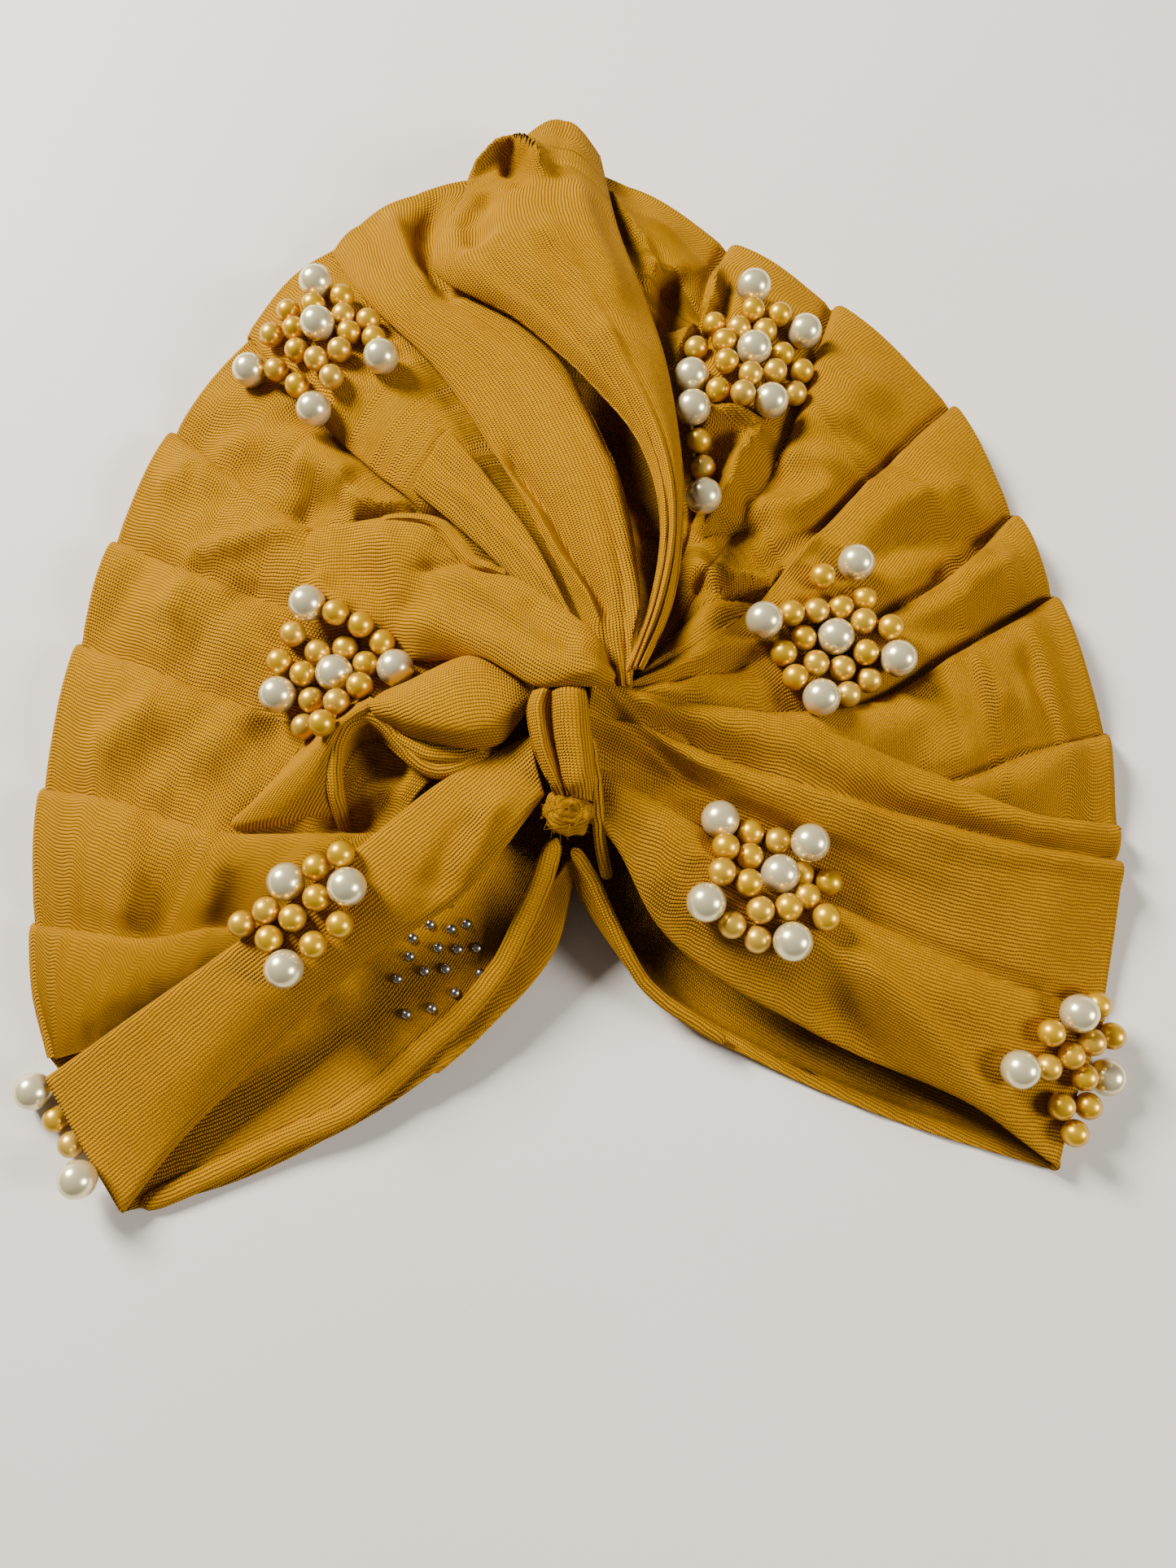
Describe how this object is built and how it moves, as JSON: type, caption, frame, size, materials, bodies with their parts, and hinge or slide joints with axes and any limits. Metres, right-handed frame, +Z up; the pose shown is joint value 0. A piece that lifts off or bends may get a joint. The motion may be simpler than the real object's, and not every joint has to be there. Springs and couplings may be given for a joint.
{
  "type": "turban hat",
  "caption": "Pleated knit turban hat with a draped and twisted front, open below, trimmed with clusters of pearls and gold beads, lying on its back.",
  "frame": {"origin": "middle of the hat's footprint, on the surface that it lies on", "axes": "+Z up from the back of the head to the front, +Y towards the crown, +X to the right as the knotted front is seen"},
  "size_m": [0.2454, 0.262, 0.0424],
  "materials": {
    "cloth": "mustard stretch knit",
    "pearl": "ivory imitation pearl",
    "gold_bead": "satin pearl gold"
  },
  "bodies": {
    "root": {"back_panel": "cloth", "drape_strip": "cloth", "front_tongue": "cloth", "gold_beads_band_left": "gold_bead", "gold_beads_band_right": "gold_bead", "gold_beads_behind_drape": "gold_bead", "gold_beads_corner_left": "gold_bead", "gold_beads_corner_right": "gold_bead", "gold_beads_crown_left": "gold_bead", "gold_beads_crown_right": "gold_bead", "gold_beads_side_left": "gold_bead", "gold_beads_side_right": "gold_bead", "left_band": "cloth", "left_hem_strap": "cloth", "left_pleats": "cloth", "over_drape": "cloth", "pearl_band_left_1": "pearl", "pearl_band_left_2": "pearl", "pearl_band_left_3": "pearl", "pearl_band_right_1": "pearl", "pearl_band_right_2": "pearl", "pearl_band_right_3": "pearl", "pearl_band_right_4": "pearl", "pearl_band_right_5": "pearl", "pearl_behind_drape_1": "pearl", "pearl_behind_drape_2": "pearl", "pearl_corner_left_1": "pearl", "pearl_corner_left_2": "pearl", "pearl_corner_right_1": "pearl", "pearl_corner_right_2": "pearl", "pearl_corner_right_3": "pearl", "pearl_crown_left_1": "pearl", "pearl_crown_left_2": "pearl", "pearl_crown_left_3": "pearl", "pearl_crown_left_4": "pearl", "pearl_crown_left_5": "pearl", "pearl_crown_right_1": "pearl", "pearl_crown_right_2": "pearl", "pearl_crown_right_3": "pearl", "pearl_crown_right_4": "pearl", "pearl_crown_right_5": "pearl", "pearl_side_left_1": "pearl", "pearl_side_left_2": "pearl", "pearl_side_left_3": "pearl", "pearl_side_left_4": "pearl", "pearl_side_right_1": "pearl", "pearl_side_right_2": "pearl", "pearl_side_right_3": "pearl", "pearl_side_right_4": "pearl", "pearl_side_right_5": "pearl", "right_band": "cloth", "right_hem_strap": "cloth", "right_pleats": "cloth", "side_fold": "cloth", "tie_knot": "cloth", "twist_roll": "cloth", "twist_wrap": "cloth", "under_drape": "cloth"}
  },
  "joints": []
}
